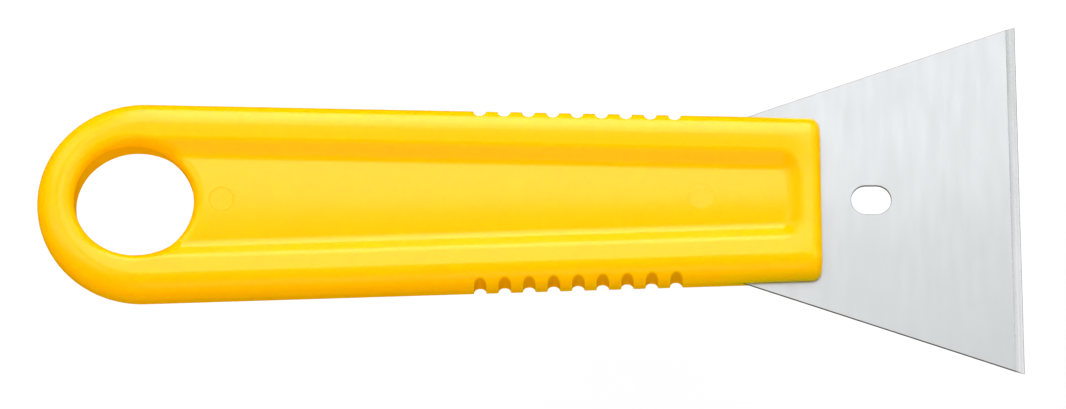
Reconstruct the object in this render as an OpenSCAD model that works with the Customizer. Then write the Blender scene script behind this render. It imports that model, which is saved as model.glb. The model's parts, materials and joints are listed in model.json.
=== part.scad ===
// Small fixed-blade scraper: a flat steel blade moulded into a solid plastic handle.
// +X runs from the hanging hole to the blade edge, +Y across, +Z through the thickness.
// The tool lies on its back rim, with the origin under the middle of its bounding box.

/* [Handle] */
// Length of the handle, from its round end to its square front end
handle_len = 97.5; // [90:0.1:110]
// Width across the round end, which is also the widest place
butt_w = 25.4; // [24:0.1:27]
// Distance from the round end to its widest place, so a little more than half its width
butt_len = 13.2; // [12.7:0.1:14]
// Width across the square front end
front_w = 20.9; // [19:0.1:23]
// Thickness between the two rims
handle_t = 6.8; // [6.2:0.1:8]
// Radius that rounds the long sides over the rims
side_round = 3; // [1.5:0.1:3]
// Radius of the two front corners, seen from above
corner_round = 1.5; // [0.5:0.1:2.5]
// Radius of the front end's upper and lower edges
nose_round = 1; // [0.3:0.1:1.5]

/* [Hanging hole] */
// Diameter of the hanging hole
hole_d = 14.8; // [12:0.1:15.2]
// Distance from the round end to the middle of the hole
hole_x = 12.1; // [11.9:0.1:13]
// Radius that rounds both rims of the hole
hole_round = 0.8; // [0.3:0.1:0.9]

/* [Recess] */
// Depth of the long recess in each face
recess_depth = 1.3; // [0.6:0.05:1.6]
// Width of the rim between the side of the handle and the mouth of the recess
rim_w = 4.95; // [4.5:0.05:5.5]
// Width of the sloping wall between the mouth and the floor
recess_slope = 1.9; // [1.2:0.1:2.6]
// Width of the rim left in front of the recess
rim_front = 2.3; // [1.5:0.1:4]
// Radius of the recess floor's front corners
floor_round = 0.6; // [0.4:0.1:1.5]

/* [Grip notches] */
// Number of notches on each side
notch_count = 9; // [3:1:11]
// Distance from one notch to the next
notch_pitch = 3.04; // [2.6:0.02:3.2]
// Distance from the round end to the first notch
notch_start = 55.1; // [50:0.1:58]
// Radius of a notch
notch_r = 0.76; // [0.6:0.01:1.1]
// Distance of a notch's centre inside the side of the handle
notch_inset = 0.34; // [0:0.02:0.4]

/* [Ejector marks] */
// Diameter of the two ejector marks on the front recess floor
mark_d = 3; // [2:0.1:4]
// Depth of the ejector marks
mark_depth = 0.08; // [0.04:0.01:0.15]
// Distance from the round end to the rear mark
mark_rear_x = 23; // [22:0.1:30]
// Distance from the round end to the front mark
mark_front_x = 82.6; // [75:0.1:88]

/* [Blade] */
// Width of the blade's cutting edge
blade_w = 45; // [40:0.5:50]
// Distance from the handle's front end to the cutting edge
blade_reach = 24.8; // [20:0.1:30]
// Thickness of the blade
blade_t = 0.5; // [0.4:0.05:1]
// Angle of the sloping sides from the length of the tool
blade_slope = 18.95; // [17:0.05:21]
// Width of the ground band along the cutting edge
bevel_w = 1.2; // [0.8:0.1:2]
// Thickness left at the cutting edge
edge_t = 0.12; // [0.05:0.01:0.25]

/* [Locating slot] */
// Length of the oblong slot, along the tool
slot_len = 5; // [4.5:0.1:7]
// Width of the oblong slot
slot_w = 3.7; // [3:0.1:4.4]
// Distance of the slot's middle in front of the handle
slot_gap = 6.3; // [4:0.1:12]

/* [Tang, inside the handle] */
// Width of the hidden tang
tang_w = 14; // [10:0.5:15]
// Length of the straight part of the tang, behind the sloping sides
tang_len = 17; // [12:0.5:20]
// Radius of the tang's two corners
tang_round = 2; // [1:0.5:3]
// Diameter of the two anchor holes that the plastic fills
anchor_d = 4; // [3:0.1:5]
// Distance of the first anchor hole from the tang's end
anchor_gap = 5; // [4:0.5:6]
// Distance between the two anchor holes
anchor_pitch = 8; // [6:0.5:9]

/* [Hidden] */

eps = 0.01;
edge_x = handle_len + blade_reach;
butt_r = butt_w / 2;
mid_z = handle_t / 2;
taper = (butt_w - front_w) / 2 / (handle_len - butt_len);
floor_z = mid_z - recess_depth;
front_mouth = handle_len - rim_front;
front_floor = front_mouth - recess_slope;
tang_meet = edge_x - (blade_w - tang_w) / 2 / tan(blade_slope);
tang_x = tang_meet - tang_len;

// Half the handle's width at a distance x from the round end
function side_y(x) = butt_r - taper * (x - butt_len);

// Half the recess floor's width at a distance x from the round end
function floor_y(x) = side_y(x) - rim_w - recess_slope;

// Puts a shape drawn from the round end, about the middle of the thickness, into the part's frame
module place() {
    translate([-edge_x / 2, 0, mid_z]) children();
}

// Disc of full thickness whose rim is rounded over
module rounded_disc(r) {
    rotate_extrude($fn = 96) intersection() {
        offset(r = side_round, $fn = 32)
            square([2 * (r - side_round), handle_t - 2 * side_round], center = true);
        translate([0, -handle_t]) square([r + 1, 2 * handle_t]);
    }
}

// Tapering bar with rounded sides that runs on past the front end
module long_bar() {
    far = handle_len + 2 * side_round;
    far_r = side_round + 1;
    hull() {
        translate([butt_len, 0, 0]) scale([butt_len / butt_r, 1, 1]) rounded_disc(butt_r);
        for (side = [-1, 1])
            translate([far, side * (side_y(far) - far_r), 0]) rounded_disc(far_r);
    }
}

// Square end seen from above, with rounded corners
module front_plan() {
    hull() {
        translate([-1, -butt_w]) square([1, 2 * butt_w]);
        for (side = [-1, 1])
            translate([handle_len - corner_round, side * (side_y(handle_len) - corner_round)])
                circle(corner_round, $fn = 48);
    }
}

// Square end seen from the side, with its two edges rounded
module front_profile() {
    hull() {
        translate([-1, -mid_z]) square([1, handle_t]);
        for (face = [-1, 1])
            translate([handle_len - nose_round, face * (mid_z - nose_round)])
                circle(nose_round, $fn = 48);
    }
}

// Outer form of the handle, with nothing cut away
module handle_blank() {
    intersection() {
        long_bar();
        linear_extrude(2 * handle_t, center = true) front_plan();
        rotate([90, 0, 0]) linear_extrude(2 * butt_w, center = true) front_profile();
    }
}

// Cone frustum that hollows one end of the recess, from its floor to just past the rim
module recess_corner(floor_r) {
    rise = recess_depth + eps;
    run = recess_slope * rise / recess_depth;
    translate([0, 0, floor_z]) cylinder(r1 = floor_r, r2 = floor_r + run, h = rise, $fn = 64);
}

// Recess cut into the upper face, from the hanging hole to the front rim
module recess_cut() {
    corner_x = front_floor - floor_round;
    hull() {
        translate([hole_x, 0, 0]) recess_corner(floor_y(hole_x));
        for (side = [-1, 1])
            translate([corner_x, side * (floor_y(corner_x) - floor_round), 0])
                recess_corner(floor_round);
    }
}

// Hanging hole whose two rims are rounded over
module hole_cut() {
    far_r = hole_d / 2 + hole_round;
    translate([hole_x, 0, 0]) rotate_extrude($fn = 96) difference() {
        translate([0, -handle_t]) square([far_r, 2 * handle_t]);
        hull() for (face = [-1, 1])
            translate([far_r, face * (mid_z - hole_round)]) circle(hole_round, $fn = 32);
    }
}

// Row of grip notches through the thickness of both sides
module notch_cuts() {
    for (i = [0 : notch_count - 1], side = [-1, 1]) {
        x = notch_start + i * notch_pitch;
        translate([x, side * (side_y(x) - notch_inset), 0])
            cylinder(r = notch_r, h = 2 * handle_t, center = true, $fn = 32);
    }
}

// Two shallow ejector marks on the upper recess floor
module mark_cuts() {
    for (x = [mark_rear_x, mark_front_x])
        translate([x, 0, floor_z - mark_depth]) cylinder(d = mark_d, h = recess_depth, $fn = 48);
}

// Outline of the blade: a trapezoid that narrows to a hidden tang
module blade_outline() {
    polygon([
        [edge_x, blade_w / 2],
        [tang_meet, tang_w / 2],
        [tang_x + tang_round, tang_w / 2],
        [tang_x, tang_w / 2 - tang_round],
        [tang_x, tang_round - tang_w / 2],
        [tang_x + tang_round, -tang_w / 2],
        [tang_meet, -tang_w / 2],
        [edge_x, -blade_w / 2]
    ]);
}

// Oblong slot with round ends
module slot_outline() {
    half = (slot_len - slot_w) / 2;
    for (end = [-1, 1]) translate([end * half, 0]) circle(d = slot_w, $fn = 48);
    square([2 * half, slot_w], center = true);
}

// Blade of full thickness, with its slot and its two anchor holes
module blade_plate() {
    linear_extrude(blade_t, center = true) difference() {
        blade_outline();
        translate([handle_len + slot_gap, 0]) slot_outline();
        for (x = [0, anchor_pitch])
            translate([tang_x + anchor_gap + x, 0]) circle(d = anchor_d, $fn = 48);
    }
}

// Wedges that grind both faces down to the cutting edge
module grind_cuts() {
    drop = (blade_t - edge_t) / 2;
    for (face = [0, 1]) mirror([0, 0, face])
        rotate([90, 0, 0]) linear_extrude(2 * blade_w, center = true) polygon([
            [edge_x - bevel_w, blade_t / 2],
            [edge_x + bevel_w, blade_t / 2 - 2 * drop],
            [edge_x + bevel_w, blade_t]
        ]);
}

module handle() {
    color([0.99, 0.80, 0.05]) place() difference() {
        handle_blank();
        for (face = [0, 180]) rotate([face, 0, 0]) recess_cut();
        hole_cut();
        notch_cuts();
        mark_cuts();
        blade_plate();
    }
}

module blade() {
    color([0.86, 0.87, 0.88]) place() difference() {
        blade_plate();
        grind_cuts();
    }
}

handle();
blade();
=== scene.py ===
"""Small fixed-blade scraper: looks of its moulded handle and steel blade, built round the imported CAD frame.

Shapes are worked out in millimetres from the handle's round end, its middle line and its middle plane.
They are moved into the frame's metres when each mesh is made.
"""

import json
import math

import bmesh
import bpy
import numpy as np
from mathutils import Matrix, Vector
from mathutils.geometry import tessellate_polygon


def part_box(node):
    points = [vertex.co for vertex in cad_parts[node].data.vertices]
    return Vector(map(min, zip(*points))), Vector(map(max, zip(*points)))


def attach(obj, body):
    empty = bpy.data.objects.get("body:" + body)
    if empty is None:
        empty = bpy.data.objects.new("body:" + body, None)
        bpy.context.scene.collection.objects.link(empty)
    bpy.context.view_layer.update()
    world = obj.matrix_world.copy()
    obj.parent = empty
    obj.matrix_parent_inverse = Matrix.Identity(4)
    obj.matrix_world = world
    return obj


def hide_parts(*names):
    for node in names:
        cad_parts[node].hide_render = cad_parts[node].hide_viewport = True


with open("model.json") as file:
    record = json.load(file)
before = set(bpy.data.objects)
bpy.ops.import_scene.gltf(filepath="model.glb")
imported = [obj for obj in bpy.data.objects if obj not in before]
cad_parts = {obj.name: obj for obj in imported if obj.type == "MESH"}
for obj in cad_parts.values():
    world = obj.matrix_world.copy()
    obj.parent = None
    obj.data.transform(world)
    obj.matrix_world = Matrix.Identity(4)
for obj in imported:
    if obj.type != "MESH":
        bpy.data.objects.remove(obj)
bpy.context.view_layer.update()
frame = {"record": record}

MM = 0.001
mounts = {mount["name"]: mount for mount in frame["record"]["mounts"]}
handle_low, handle_high = (np.array(corner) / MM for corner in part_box("handle"))
blade_low, blade_high = (np.array(corner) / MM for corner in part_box("blade"))
ORIGIN = np.array([handle_low[0], 0.0, (handle_low[2] + handle_high[2]) / 2])

# Handle, in millimetres
LENGTH, BUTT_W, THICK = handle_high - handle_low
BUTT_R = BUTT_W / 2
BUTT_LEN = 13.2
FRONT_W = 20.9
TAPER = math.atan((BUTT_W - FRONT_W) / 2 / (LENGTH - BUTT_LEN))
OVAL_MEET = math.hypot(BUTT_R, BUTT_LEN * math.tan(TAPER))
SIDE_ROUND = 3.0
NOSE_ROUND = 1.3
CREST_DROP = 0.15
CREST_BLEND = 0.04
HOLE_X = mounts["hang_hole"]["pos_m"][0] / MM - ORIGIN[0]
HOLE_R = mounts["hang_hole"]["dims"]["r_mm"]
HOLE_SQUASH = 1.05
HOLE_ROUND = 1.4
# Recess in each face
RIM_W = 4.95
RIM_FRONT = 2.45
SLOPE_W = 1.88
END_SLOPE_W = 1.8
FLOOR_Z = 2.13
FLOOR_CROWN = 0.32
CROWN_REACH = 1.3
MOUTH_CORNER = 2.6
MOUTH_BLEND = 0.28
FLOOR_BLEND = 0.48
# Grip notches
NOTCH_COUNT = 9
NOTCH_PITCH = 3.04
NOTCH_START = 55.1
NOTCH_R = 0.76
NOTCH_INSET = 0.34
NOTCH_ROUND = 0.16
# Ejector marks: radius, distances from the round end, depth in the crowned floor, softness of the edge,
# and width and depth of the groove round the rear one
MARK_R = 1.5
MARKS = [23.0, 82.6]
MARK_SUNK = 0.03
MARK_EDGE = 0.3
GROOVE_W = 0.09
GROOVE_H = 0.045
# Parting line round the middle of the sides
SEAM_H = 0.02
SEAM_W = 0.07

# Mesh of the handle: room left round it, ends of its finely stepped zones, and limits of the solver
MARGIN = 0.35
BUTT_ZONE = 22
NOTCH_ROOM = 1.6
FRONT_ZONE = 6
POCKET_ZONE = 0.46
SEAM_ZONE = 0.14
LONGEST_MOVE = 0.08
LEAST_SLOPE = 0.05
TINY = 1e-6

# Blade, in millimetres
BLADE_T = blade_high[2] - blade_low[2]
BLADE_W = blade_high[1] - blade_low[1]
EDGE_X = blade_high[0] - ORIGIN[0]
TANG_X = blade_low[0] - ORIGIN[0]
TANG_W = 14.0
TANG_LEN = 17.0
TANG_ROUND = 2.0
ANCHOR_GAP = 5.0
ANCHOR_PITCH = 8.0
ANCHOR_X = [TANG_X + ANCHOR_GAP, TANG_X + ANCHOR_GAP + ANCHOR_PITCH]
ANCHOR_R = 2.0
SLOT_X = mounts["locating_slot"]["pos_m"][0] / MM - ORIGIN[0]
SLOT_R = mounts["locating_slot"]["dims"]["hole_r_mm"]
SLOT_LEN = mounts["locating_slot"]["dims"]["slot_length_mm"]
BAND_W = 1.2
BAND_SOFT = 0.03
BAND_LINE = 0.4
EDGE_T = 0.12
EDGE_BREAK = 0.05
TANG_MEET = TANG_X + TANG_LEN
SIDE_GRADE = (BLADE_W - TANG_W) / 2 / (EDGE_X - TANG_MEET)
# Points on its round stretches
SLOT_STEPS = 33
TANG_STEPS = 9
ANCHOR_STEPS = 48

# Viewpoint, in metres, and the width that the picture spans there
CAMERA_TILT = math.radians(16.3)
CAMERA_ROLL = math.radians(0.31)
CAMERA_DISTANCE = 0.725
VIEW_WIDTH = 0.13275
TARGET = Vector((0.00055, -0.0003, ORIGIN[2] * MM))

# Studio: even pale surroundings above a dim ground, and a ring of soft panels, brightest behind the far
# long side. Each panel is (angle from straight up, angle from +Y towards +X, radiance). Blue is cut off near
# black, as it is in a print of a deep yellow.
BLUE_CUT = 0.03
WORLD_ABOVE = 0.74
WORLD_BELOW = 0.08
HORIZON_BLUR = 0.1
FLOOR_LEVEL = -0.09
PANEL_SIZE = 0.5
PANEL_DISTANCE = 1.2
PANELS = [(25, 0, 1.9), (25, 90, 0.9), (25, 270, 1.2)]
PANELS += [(50, 0, 2.8), (50, 45, 1.2), (50, 315, 1.5), (50, 90, 0.8), (50, 270, 1.0), (50, 180, 0.5)]
PANELS += [(74, 0, 2.4), (74, 45, 0.5), (74, 315, 0.6)]


# ---------------------------------------------------------------- solid functions


def round_and(a, b, radius):
    """Distance to what lies inside both a and b, with the edge between them rounded."""
    outer = np.sqrt(np.maximum(a + radius, 0) ** 2 + np.maximum(b + radius, 0) ** 2)
    return np.minimum(np.maximum(a, b), -radius) + outer


def soft_max(a, b, width):
    """The larger of a and b, blended where they are within width of each other."""
    near = np.maximum(width - np.abs(a - b), 0) / width
    return np.maximum(a, b) + near * near * width / 4


def soft_min(a, b, width):
    return -soft_max(-a, -b, width)


def ramp(value):
    """Smooth step from 0 to 1."""
    t = np.clip(value, 0, 1)
    return t * t * (3 - 2 * t)


def side_distance(x, y):
    """Distance outside the slightly oval butt and the two tapering sides, seen from above."""
    along, across = x - BUTT_LEN, np.abs(y)
    reach = np.sqrt((along / BUTT_LEN) ** 2 + (across / BUTT_R) ** 2)
    steep = np.sqrt((along / BUTT_LEN**2) ** 2 + (across / BUTT_R**2) ** 2)
    oval = reach * (reach - 1) / np.maximum(steep, TINY)
    flat = along * math.sin(TAPER) + (across - OVAL_MEET) * math.cos(TAPER)
    return np.where(along < across * math.tan(TAPER), oval, flat)


def side_y(x):
    """Half the handle's width at x, in front of the butt."""
    return OVAL_MEET - (x - BUTT_LEN) * math.tan(TAPER)


def face_height(x, y, top):
    """Half thickness of the handle over the rim, the recess slope and the crowned recess floor."""
    inset = -side_distance(x, y)
    in_side = inset - RIM_W
    in_front = (LENGTH - RIM_FRONT - x) * SLOPE_W / END_SLOPE_W
    inside = -round_and(-in_side, -in_front, MOUTH_CORNER)
    half_floor = side_y(x) - RIM_W - SLOPE_W
    floor = FLOOR_Z - FLOOR_CROWN * np.minimum(np.abs(y) / half_floor, CROWN_REACH) ** 2
    for mark_x in MARKS:
        gap = MARK_R - np.sqrt((x - mark_x) ** 2 + y**2)
        disc = np.minimum(floor, FLOOR_Z - MARK_SUNK)
        floor = np.where(top, floor + (disc - floor) * ramp(gap / MARK_EDGE + 0.5), floor)
    mouth_z = THICK / 2 - CREST_DROP
    corner_z = FLOOR_Z - FLOOR_CROWN
    rim = mouth_z - inside * CREST_DROP / (RIM_W - SIDE_ROUND)
    rim = soft_min(rim, THICK / 2, CREST_BLEND)
    slope = mouth_z - inside * (mouth_z - corner_z) / SLOPE_W
    return soft_min(rim, soft_max(slope, floor, FLOOR_BLEND), MOUTH_BLEND)


def notch_distance(x, y):
    """Distance inside the nearest grip notch."""
    step = np.clip(np.round((x - NOTCH_START) / NOTCH_PITCH), 0, NOTCH_COUNT - 1)
    middle = NOTCH_START + step * NOTCH_PITCH
    across = np.abs(y) - (side_y(middle) - NOTCH_INSET)
    return NOTCH_R - np.sqrt((x - middle) ** 2 + across**2)


def tang_distance(x, y):
    """Distance outside the blade's outline, seen from above, with its anchor holes."""
    half = TANG_W / 2 + SIDE_GRADE * np.maximum(x - TANG_MEET, 0)
    side = (np.abs(y) - half) * math.cos(math.atan(SIDE_GRADE))
    outline = round_and(side, TANG_X - x, TANG_ROUND)
    for anchor in ANCHOR_X:
        outline = np.maximum(outline, ANCHOR_R - np.sqrt((x - anchor) ** 2 + y**2))
    return outline


def handle_distance(x, y, z):
    """Signed distance to the handle's surface, negative inside the plastic."""
    height = np.abs(z)
    seam = SEAM_H * np.exp(-((z / SEAM_W) ** 2))
    face = height - face_height(x, y, z > 0)
    body = round_and(side_distance(x, y) - seam, face, SIDE_ROUND)
    body = round_and(body, x - LENGTH, NOSE_ROUND)
    hole = HOLE_R - np.sqrt((x - HOLE_X) ** 2 + (HOLE_SQUASH * y) ** 2)
    body = round_and(body, hole, HOLE_ROUND)
    body = round_and(body, notch_distance(x, y), NOTCH_ROUND)
    pocket = np.maximum(height - BLADE_T / 2, tang_distance(x, y))
    return np.maximum(body, -pocket)


# ---------------------------------------------------------------- meshing


def stepped_line(stops):
    """Grid line through the stops, each (place, step) giving the step used up to the next place."""
    line = []
    for (start, step), (end, _) in zip(stops, stops[1:]):
        count = max(1, round((end - start) / step))
        line.extend(np.linspace(start, end, count, endpoint=False))
    line.append(stops[-1][0])
    return np.array(line, np.float32)


def slope_at(field, points, step=0.02):
    """Gradient of a field at each point, by central differences."""
    gradient = np.empty_like(points)
    for axis in range(3):
        shift = np.zeros(3)
        shift[axis] = step
        gradient[:, axis] = (field(*(points + shift).T) - field(*(points - shift).T)) / (2 * step)
    return gradient


def cells_round(edges, first, second):
    """The four cells round each grid edge, one turn about it, given the two axes across it."""
    for back_first, back_second in ((0, 0), (1, 0), (1, 1), (0, 1)):
        cell = edges.copy()
        cell[:, first] -= back_first
        cell[:, second] -= back_second
        yield tuple(cell.T)


def settle(field, verts, passes=4):
    """Moves points down the gradient until they lie where field is zero."""
    for _ in range(passes):
        gradient = slope_at(field, verts)
        square = np.maximum((gradient**2).sum(1), LEAST_SLOPE)
        move = gradient * (field(*verts.T) / square)[:, None]
        length = np.sqrt((move**2).sum(1))
        verts = verts - move * np.minimum(1, LONGEST_MOVE / np.maximum(length, TINY))[:, None]
    return verts


def surface_net(field, lines):
    """Quad mesh of the surface where field is zero: one vertex per grid cell that it crosses."""
    grid = np.meshgrid(*lines, indexing="ij", sparse=True)
    value = field(*grid)
    inside = value < 0
    cells = tuple(len(line) - 1 for line in lines)
    total = np.zeros(cells + (3,), np.float32)
    count = np.zeros(cells, np.float32)
    crossings = []
    for axis in range(3):
        near = tuple(slice(None, -1) if a == axis else slice(None) for a in range(3))
        far = tuple(slice(1, None) if a == axis else slice(None) for a in range(3))
        where = np.argwhere(inside[near] != inside[far])
        low = value[near][tuple(where.T)]
        high = value[far][tuple(where.T)]
        point = np.stack([lines[a][where[:, a]] for a in range(3)], 1)
        stride = lines[axis][where[:, axis] + 1] - lines[axis][where[:, axis]]
        point[:, axis] += stride * low / (low - high)
        first, second = (a for a in range(3) if a != axis)
        for cell in cells_round(where, first, second):
            np.add.at(total, cell, point)
            np.add.at(count, cell, 1)
        crossings.append((axis, first, second, where, low < 0))
    used = np.argwhere(count > 0)
    index = np.full(cells, -1, np.int64)
    index[tuple(used.T)] = np.arange(len(used))
    verts = (total[tuple(used.T)] / count[tuple(used.T)][:, None]).astype(float)
    quads = []
    for axis, first, second, where, leaving in crossings:
        quad = np.stack([index[cell] for cell in cells_round(where, first, second)], 1)
        turn = leaving if axis != 1 else ~leaving
        quads.append(np.where(turn[:, None], quad, quad[:, ::-1]))
    return settle(field, verts), np.concatenate(quads)


def mesh_object(name, verts, faces, normals=None):
    """Object made from points in handle millimetres, smooth where it is given normals and flat otherwise."""
    mesh = bpy.data.meshes.new(name)
    mesh.from_pydata(((verts + ORIGIN) * MM).tolist(), [], faces)
    mesh.polygons.foreach_set("use_smooth", np.full(len(mesh.polygons), normals is not None))
    if normals is not None:
        mesh.normals_split_custom_set_from_vertices(normals.tolist())
    piece = bpy.data.objects.new(name, mesh)
    bpy.context.scene.collection.objects.link(piece)
    return piece


def make_handle():
    """Surface of the solid function, meshed finest at the notches, the blade pocket and the parting line."""
    notch_end = NOTCH_START + NOTCH_PITCH * (NOTCH_COUNT - 1) + NOTCH_ROOM
    along = [(-MARGIN, 0.22), (BUTT_ZONE, 0.25), (NOTCH_START - NOTCH_ROOM, 0.15), (notch_end, 0.25)]
    along += [(LENGTH - FRONT_ZONE, 0.18), (LENGTH + MARGIN, 0)]
    across = [(-BUTT_R - MARGIN, 0.2), (BUTT_R + MARGIN, 0)]
    half = THICK / 2 + MARGIN
    through = [(-half, 0.17), (-POCKET_ZONE, 0.04), (-SEAM_ZONE, 0.035)]
    through += [(SEAM_ZONE, 0.04), (POCKET_ZONE, 0.17), (half, 0)]
    lines = [stepped_line(stops) for stops in (along, across, through)]
    verts, faces = surface_net(handle_distance, lines)
    normals = slope_at(handle_distance, verts, 0.03)
    normals /= np.maximum(np.sqrt((normals**2).sum(1)), TINY)[:, None]
    return mesh_object("handle_moulding", verts, faces.tolist(), normals)


def arc(middle_x, middle_y, radius, start, end, steps):
    """Points along an arc, in degrees."""
    angles = np.radians(np.linspace(start, end, steps))
    return [(middle_x + radius * math.cos(a), middle_y + radius * math.sin(a)) for a in angles]


def blade_loops():
    """Outline of the blade, then its slot and its anchor holes, each with the steel on its left."""
    inner = TANG_W / 2 - TANG_ROUND
    corner_x = TANG_X + TANG_ROUND
    band_y = BLADE_W / 2 - SIDE_GRADE * BAND_W
    upper = [(EDGE_X, BLADE_W / 2), (EDGE_X - BAND_W, band_y), (TANG_MEET, TANG_W / 2)]
    outline = upper + arc(corner_x, inner, TANG_ROUND, 90, 180, TANG_STEPS)
    outline += arc(corner_x, -inner, TANG_ROUND, 180, 270, TANG_STEPS)
    outline += [(x, -y) for x, y in reversed(upper)]
    reach = SLOT_LEN / 2 - SLOT_R
    slot = arc(SLOT_X + reach, 0, SLOT_R, -90, 90, SLOT_STEPS)
    slot += arc(SLOT_X - reach, 0, SLOT_R, 90, 270, SLOT_STEPS)
    last = 360 - 360 / ANCHOR_STEPS
    holes = [slot] + [arc(x, 0, ANCHOR_R, 0, last, ANCHOR_STEPS) for x in ANCHOR_X]
    return [np.array(outline)] + [np.array(hole[::-1]) for hole in holes]


def drop_repeats(loop):
    """Loop without the points that repeat the one before."""
    return loop[np.hypot(*(loop - np.roll(loop, 1, 0)).T) > TINY]


def inset(loop, distance):
    """Loop moved to its left, into the steel."""
    ahead = np.roll(loop, -1, 0) - loop
    ahead /= np.hypot(ahead[:, 0], ahead[:, 1])[:, None]
    behind = np.roll(ahead, 1, 0)
    normal = np.stack([-ahead[:, 1] - behind[:, 1], ahead[:, 0] + behind[:, 0]], 1)
    return loop + normal * distance / (1 + (ahead * behind).sum(1))[:, None]


def blade_half_thickness(x):
    """Half the blade's thickness at x, falling across the ground band."""
    ground = np.clip((x - (EDGE_X - BAND_W)) / BAND_W, 0, 1)
    return BLADE_T / 2 - ground * (BLADE_T - EDGE_T) / 2


def blade_rings(loop):
    """Four rings round one loop: upper face, upper and lower end of the wall, lower face."""
    face = inset(loop, EDGE_BREAK)
    height = blade_half_thickness(loop[:, 0])
    rings = [(face, height), (loop, height - EDGE_BREAK), (loop, EDGE_BREAK - height), (face, -height)]
    return [np.column_stack([plan, level]) for plan, level in rings]


def make_blade():
    """Flat sheet with every cut edge broken, filled between its outline and its holes.

    The outline's first and last two points bound the ground band, which is one quad on each face.
    """
    verts, faces, uppers, start = [], [], [], 0
    for loop in map(drop_repeats, blade_loops()):
        count = len(loop)
        verts += blade_rings(loop)
        for ring in range(3):
            low = start + ring * count
            for i in range(count):
                j = (i + 1) % count
                faces.append((low + i, low + j, low + count + j, low + count + i))
        uppers.append((start, count))
        start += 4 * count
    verts = np.concatenate(verts)
    last = uppers[0][1]
    sheet = [list(range(1, last - 1))]
    sheet += [list(range(first, first + count)) for first, count in uppers[1:]]
    index = [i for loop in sheet for i in loop]
    lower = {first + i: first + 3 * count + i for first, count in uppers for i in range(count)}
    fill = tessellate_polygon([[Vector(verts[i]) for i in loop] for loop in sheet])
    flats = [tuple(index[i] for i in triangle) for triangle in fill] + [(0, 1, last - 2, last - 1)]
    faces += flats + [tuple(lower[i] for i in face) for face in flats]
    piece = mesh_object("blade_plate", verts, faces)
    build = bmesh.new()
    build.from_mesh(piece.data)
    bmesh.ops.recalc_face_normals(build, faces=build.faces)
    build.to_mesh(piece.data)
    build.free()
    return piece


# ---------------------------------------------------------------- materials


class Nodes:
    """Small helper that adds nodes to a material and links them."""

    def __init__(self, name):
        self.material = bpy.data.materials.new(name)
        self.material.use_nodes = True
        self.tree = self.material.node_tree
        self.shader = self.tree.nodes["Principled BSDF"]
        self.place = self.add("ShaderNodeTexCoord").outputs["Object"]

    def add(self, kind, **settings):
        node = self.tree.nodes.new(kind)
        for key, value in settings.items():
            setattr(node, key, value)
        return node

    def feed(self, socket, value):
        if isinstance(value, bpy.types.NodeSocket):
            self.tree.links.new(value, socket)
        else:
            socket.default_value = value

    def noise(self, scale, detail, roughness=0.5, stretch=(1, 1, 1)):
        """Noise of a given number of cycles per metre, from 0 to 1."""
        mapping = self.add("ShaderNodeMapping")
        self.feed(mapping.inputs["Vector"], self.place)
        mapping.inputs["Scale"].default_value = stretch
        noise = self.add("ShaderNodeTexNoise")
        self.feed(noise.inputs["Vector"], mapping.outputs["Vector"])
        noise.inputs["Scale"].default_value = scale
        noise.inputs["Detail"].default_value = detail
        noise.inputs["Roughness"].default_value = roughness
        return noise.outputs["Fac"]

    def math(self, operation, a, b=0.0):
        node = self.add("ShaderNodeMath", operation=operation)
        self.feed(node.inputs[0], a)
        self.feed(node.inputs[1], b)
        return node.outputs[0]

    def spread(self, value, low, high, to_low=0.0, to_high=1.0):
        """Maps value from one range to another, clamped."""
        node = self.add("ShaderNodeMapRange")
        keys = ("Value", "From Min", "From Max", "To Min", "To Max")
        for key, entry in zip(keys, (value, low, high, to_low, to_high)):
            self.feed(node.inputs[key], entry)
        return node.outputs["Result"]

    def mix(self, factor, a, b):
        node = self.add("ShaderNodeMix", data_type="RGBA")
        colour = [socket for socket in node.inputs if socket.type == "RGBA"]
        self.feed(node.inputs["Factor"], factor)
        self.feed(colour[0], a)
        self.feed(colour[1], b)
        return [socket for socket in node.outputs if socket.type == "RGBA"][0]

    def bump(self, height, distance, under=None):
        """Normal bumped by a height from 0 to 1 times a distance in millimetres, on top of another normal."""
        node = self.add("ShaderNodeBump")
        self.feed(node.inputs["Height"], height)
        node.inputs["Distance"].default_value = distance * MM
        node.inputs["Strength"].default_value = 1.0
        if under is not None:
            self.feed(node.inputs["Normal"], under)
        return node.outputs["Normal"]

    def distance_from(self, mark_x):
        """Distance from an ejector mark's middle, in millimetres, beyond its radius on the other face."""
        node = self.add("ShaderNodeVectorMath", operation="DISTANCE")
        self.feed(node.inputs[0], self.place)
        node.inputs[1].default_value = (np.array((mark_x, 0, FLOOR_Z)) + ORIGIN) * MM
        return self.math("MULTIPLY", node.outputs["Value"], 1 / MM)

    def axis(self, name):
        node = self.add("ShaderNodeSeparateXYZ")
        self.feed(node.inputs[0], self.place)
        return node.outputs[name]


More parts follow.
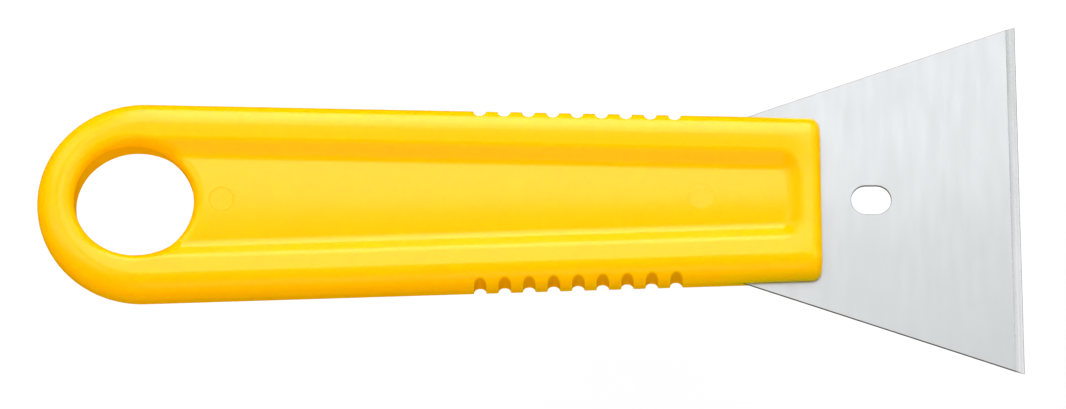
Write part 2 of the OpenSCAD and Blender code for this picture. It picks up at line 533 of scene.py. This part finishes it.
def plastic_material():
    """Semi-gloss translucent yellow moulding: fine spark-eroded grain, faint flow, ejector ring and disc, the
    front disc with a painted sheen that makes it paler.
    """
    n = Nodes("yellow_plastic")
    flow = n.noise(60, 2, stretch=(0.35, 1, 1))
    speck = n.noise(2600, 2)
    grain = n.noise(5200, 3, 0.6)
    waves = n.noise(160, 2, stretch=(0.5, 1, 1))
    colour = n.mix(n.spread(flow, 0.35, 0.65), (0.945, 0.483, 0.0, 1), (0.955, 0.501, 0.0, 1))
    rear, front = (n.distance_from(mark_x) for mark_x in MARKS)
    # Painted sheen: the front ejector disc's colour is mixed paler, standing in for the light its flat face
    # catches in the crowned floor.
    pale = n.spread(front, MARK_R - 0.2, MARK_R + 0.1, 0.35, 0.0)
    n.feed(n.shader.inputs["Base Color"], n.mix(pale, colour, (0.95, 0.55, 0.07, 1)))
    duller = n.spread(front, MARK_R - 0.1, MARK_R + 0.1, 0.13, 0.0)
    gloss = n.spread(speck, 0.3, 0.7, 0.22, 0.27)
    n.feed(n.shader.inputs["Roughness"], n.math("ADD", gloss, duller))
    n.shader.inputs["IOR"].default_value = 1.5
    n.shader.inputs["Specular IOR Level"].default_value = 0.5
    n.shader.inputs["Subsurface Weight"].default_value = 0.7
    n.shader.inputs["Subsurface Radius"].default_value = (1.0, 0.14, 0.01)
    n.shader.inputs["Subsurface Scale"].default_value = 0.004
    ripple = n.bump(waves, 0.02)
    off_ring = n.math("ABSOLUTE", n.math("SUBTRACT", rear, MARK_R))
    groove = n.bump(n.spread(off_ring, 0.0, GROOVE_W), GROOVE_H, under=ripple)
    n.feed(n.shader.inputs["Normal"], n.bump(grain, 0.001, under=groove))
    return n.material


def steel_material():
    """Rolled strip and a ground band, both with their grain along the cutting edge; the band's colour is
    painted brighter as a painted sheen of its tilted facet, and ramps in past a darker line at its edge.
    """
    n = Nodes("blade_steel")
    band_x = (ORIGIN[0] + EDGE_X - BAND_W) * MM
    along = n.axis("X")
    ground = n.spread(along, band_x - BAND_SOFT * MM, band_x + BAND_SOFT * MM)
    grain = n.noise(9000, 3, 0.6, stretch=(1, 0.03, 1))
    lines = n.noise(4200, 2, stretch=(1, 0.002, 1))
    cloud = n.noise(90, 3, 0.55)
    sheen = n.noise(900, 4, 0.6, stretch=(1, 0.15, 1))
    tone = n.mix(n.spread(cloud, 0.3, 0.7), (0.383, 0.393, 0.405, 1), (0.399, 0.409, 0.421, 1))
    # Painted sheen: the ground band gets a brighter colour than the rolled strip, standing in for the light
    # its tilted facet catches; the lines in it are real grain.
    grain_lines_and_sheen = n.mix(n.spread(lines, 0.3, 0.7), (0.51, 0.52, 0.532, 1), (0.565, 0.575, 0.587, 1))
    past_line = n.spread(along, band_x, band_x + BAND_LINE * MM)
    band = n.mix(past_line, (0.40, 0.41, 0.42, 1), grain_lines_and_sheen)
    n.feed(n.shader.inputs["Base Color"], n.mix(ground, tone, band))
    n.shader.inputs["Metallic"].default_value = 1.0
    rough = n.spread(sheen, 0.3, 0.7, 0.30, 0.36)
    n.feed(n.shader.inputs["Roughness"], n.math("SUBTRACT", rough, n.math("MULTIPLY", ground, 0.06)))
    n.shader.inputs["Anisotropic"].default_value = 0.35
    fine = n.bump(grain, 0.0012)
    height = n.math("MULTIPLY", lines, ground)
    n.feed(n.shader.inputs["Normal"], n.bump(height, 0.0005, under=fine))
    return n.material


def floor_material():
    n = Nodes("pale_floor")
    tone = n.noise(8, 2)
    n.feed(n.shader.inputs["Base Color"], n.mix(tone, (0.72, 0.72, 0.75, 1), (0.74, 0.74, 0.77, 1)))
    n.shader.inputs["Roughness"].default_value = 0.9
    return n.material


def dress(piece, material, node):
    """Gives a piece its material and ties it to the frame."""
    piece.data.materials.append(material)
    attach(piece, "root")
    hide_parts(node)


# ---------------------------------------------------------------- studio


def make_floor():
    """Wide pale floor below the tool, left out of its reflections."""
    size = 3.0
    verts = np.array([(-size, -size), (size, -size), (size, size), (-size, size)])
    mesh = bpy.data.meshes.new("studio_floor")
    mesh.from_pydata([(x, y, FLOOR_LEVEL) for x, y in verts.tolist()], [], [(0, 1, 2, 3)])
    floor = bpy.data.objects.new("studio_floor", mesh)
    bpy.context.scene.collection.objects.link(floor)
    mesh.materials.append(floor_material())
    floor.visible_glossy = False


def soft_panel(name, tilt, turn, radiance):
    """Square lamp facing the tool: tilt is its angle from straight up, turn its angle from +Y towards +X."""
    light = bpy.data.lights.new(name, "AREA")
    light.shape = "SQUARE"
    light.size = PANEL_SIZE
    light.energy = radiance * math.pi * PANEL_SIZE**2
    lamp = bpy.data.objects.new(name, light)
    level = math.sin(tilt)
    place = Vector((level * math.sin(turn), level * math.cos(turn), math.cos(tilt))) * PANEL_DISTANCE
    lamp.location = place
    lamp.rotation_euler = (-place).to_track_quat("-Z", "Y").to_euler()
    bpy.context.scene.collection.objects.link(lamp)


def make_lights():
    """Surroundings that turn from dim to pale at the horizon, and the panels."""
    world = bpy.data.worlds.new("studio")
    world.use_nodes = True
    nodes, links = world.node_tree.nodes, world.node_tree.links
    place = nodes.new("ShaderNodeTexCoord")
    split = nodes.new("ShaderNodeSeparateXYZ")
    horizon = nodes.new("ShaderNodeMapRange")
    horizon.inputs["From Min"].default_value = -HORIZON_BLUR
    horizon.inputs["From Max"].default_value = HORIZON_BLUR
    horizon.inputs["To Min"].default_value = WORLD_BELOW
    horizon.inputs["To Max"].default_value = WORLD_ABOVE
    links.new(place.outputs["Generated"], split.inputs[0])
    links.new(split.outputs["Z"], horizon.inputs["Value"])
    links.new(horizon.outputs["Result"], nodes["Background"].inputs["Strength"])
    nodes["Background"].inputs["Color"].default_value = (1, 1, 1, 1)
    bpy.context.scene.world = world
    for tilt, turn, radiance in PANELS:
        soft_panel(f"panel_{tilt}_{turn}", math.radians(tilt), math.radians(turn), radiance)


def make_camera():
    """Camera leaning over the near long side, with a slight roll."""
    towards = Vector((0, -math.sin(CAMERA_TILT), math.cos(CAMERA_TILT)))
    level = Vector((1, 0, 0))
    up = towards.cross(level)
    right = level * math.cos(CAMERA_ROLL) - up * math.sin(CAMERA_ROLL)
    top = towards.cross(right)
    data = bpy.data.cameras.new("camera")
    data.sensor_width = 36.0
    data.lens = data.sensor_width * CAMERA_DISTANCE / VIEW_WIDTH
    data.clip_start = 0.01
    camera = bpy.data.objects.new("camera", data)
    turn = Matrix((right, top, towards)).transposed().to_4x4()
    camera.matrix_world = Matrix.Translation(TARGET + towards * CAMERA_DISTANCE) @ turn
    bpy.context.scene.collection.objects.link(camera)
    bpy.context.scene.camera = camera


def set_view():
    """Contrasty print look whose blue is cut off near black, so deep yellow loses its last blue."""
    view = bpy.context.scene.view_settings
    view.view_transform = "Standard"
    view.look = "Medium High Contrast"
    view.use_curve_mapping = True
    view.curve_mapping.black_level = (0, 0, BLUE_CUT)
    view.curve_mapping.update()


make_camera()
make_lights()
make_floor()
dress(make_handle(), plastic_material(), "handle")
dress(make_blade(), steel_material(), "blade")
set_view()
